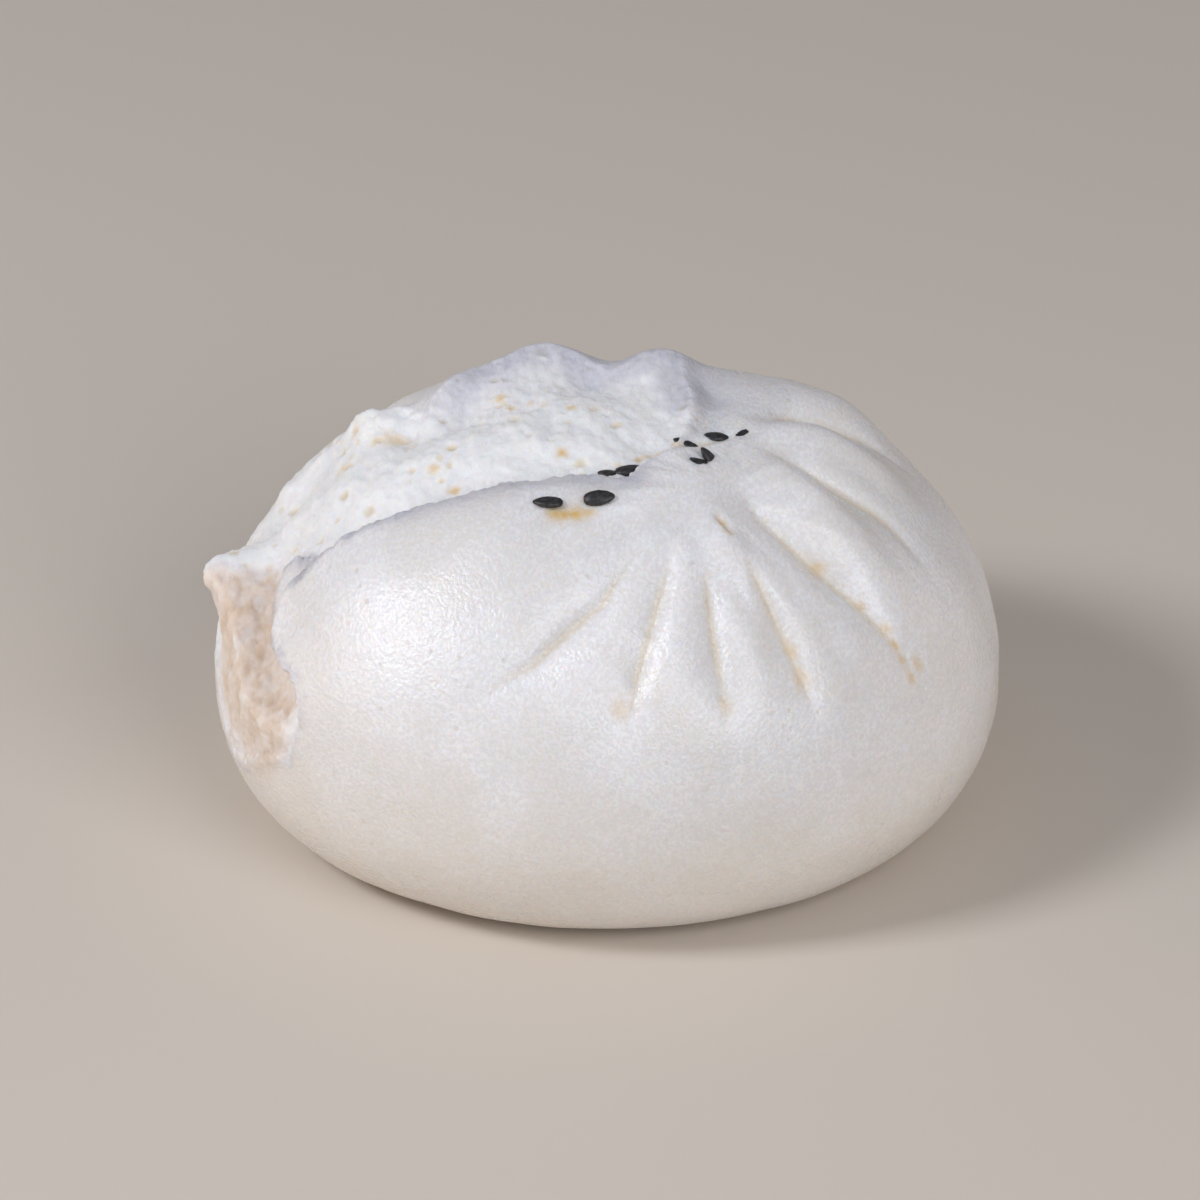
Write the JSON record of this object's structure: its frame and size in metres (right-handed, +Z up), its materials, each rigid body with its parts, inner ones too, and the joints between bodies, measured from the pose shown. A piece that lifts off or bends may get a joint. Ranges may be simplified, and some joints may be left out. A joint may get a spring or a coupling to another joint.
{
  "type": "char siu bao bun",
  "caption": "Steamed barbecue pork bun: a domed white bun, pleated round a knot and burst open along the top, with a flat base.",
  "frame": {"origin": "centre of the bun's box at the flat base, where it rests", "axes": "+Z up out of the base; +X along the widest way across, towards the side where the seam closes; -Y towards the smooth front panel"},
  "size_m": [0.0902, 0.083, 0.0484],
  "materials": {
    "steamed_dough": "soft white steamed dough, slightly satin skin and matt crumb",
    "black_sesame": "black seed hull with a faint sheen"
  },
  "bodies": {
    "root": {"bun": "steamed_dough"}
  },
  "joints": []
}
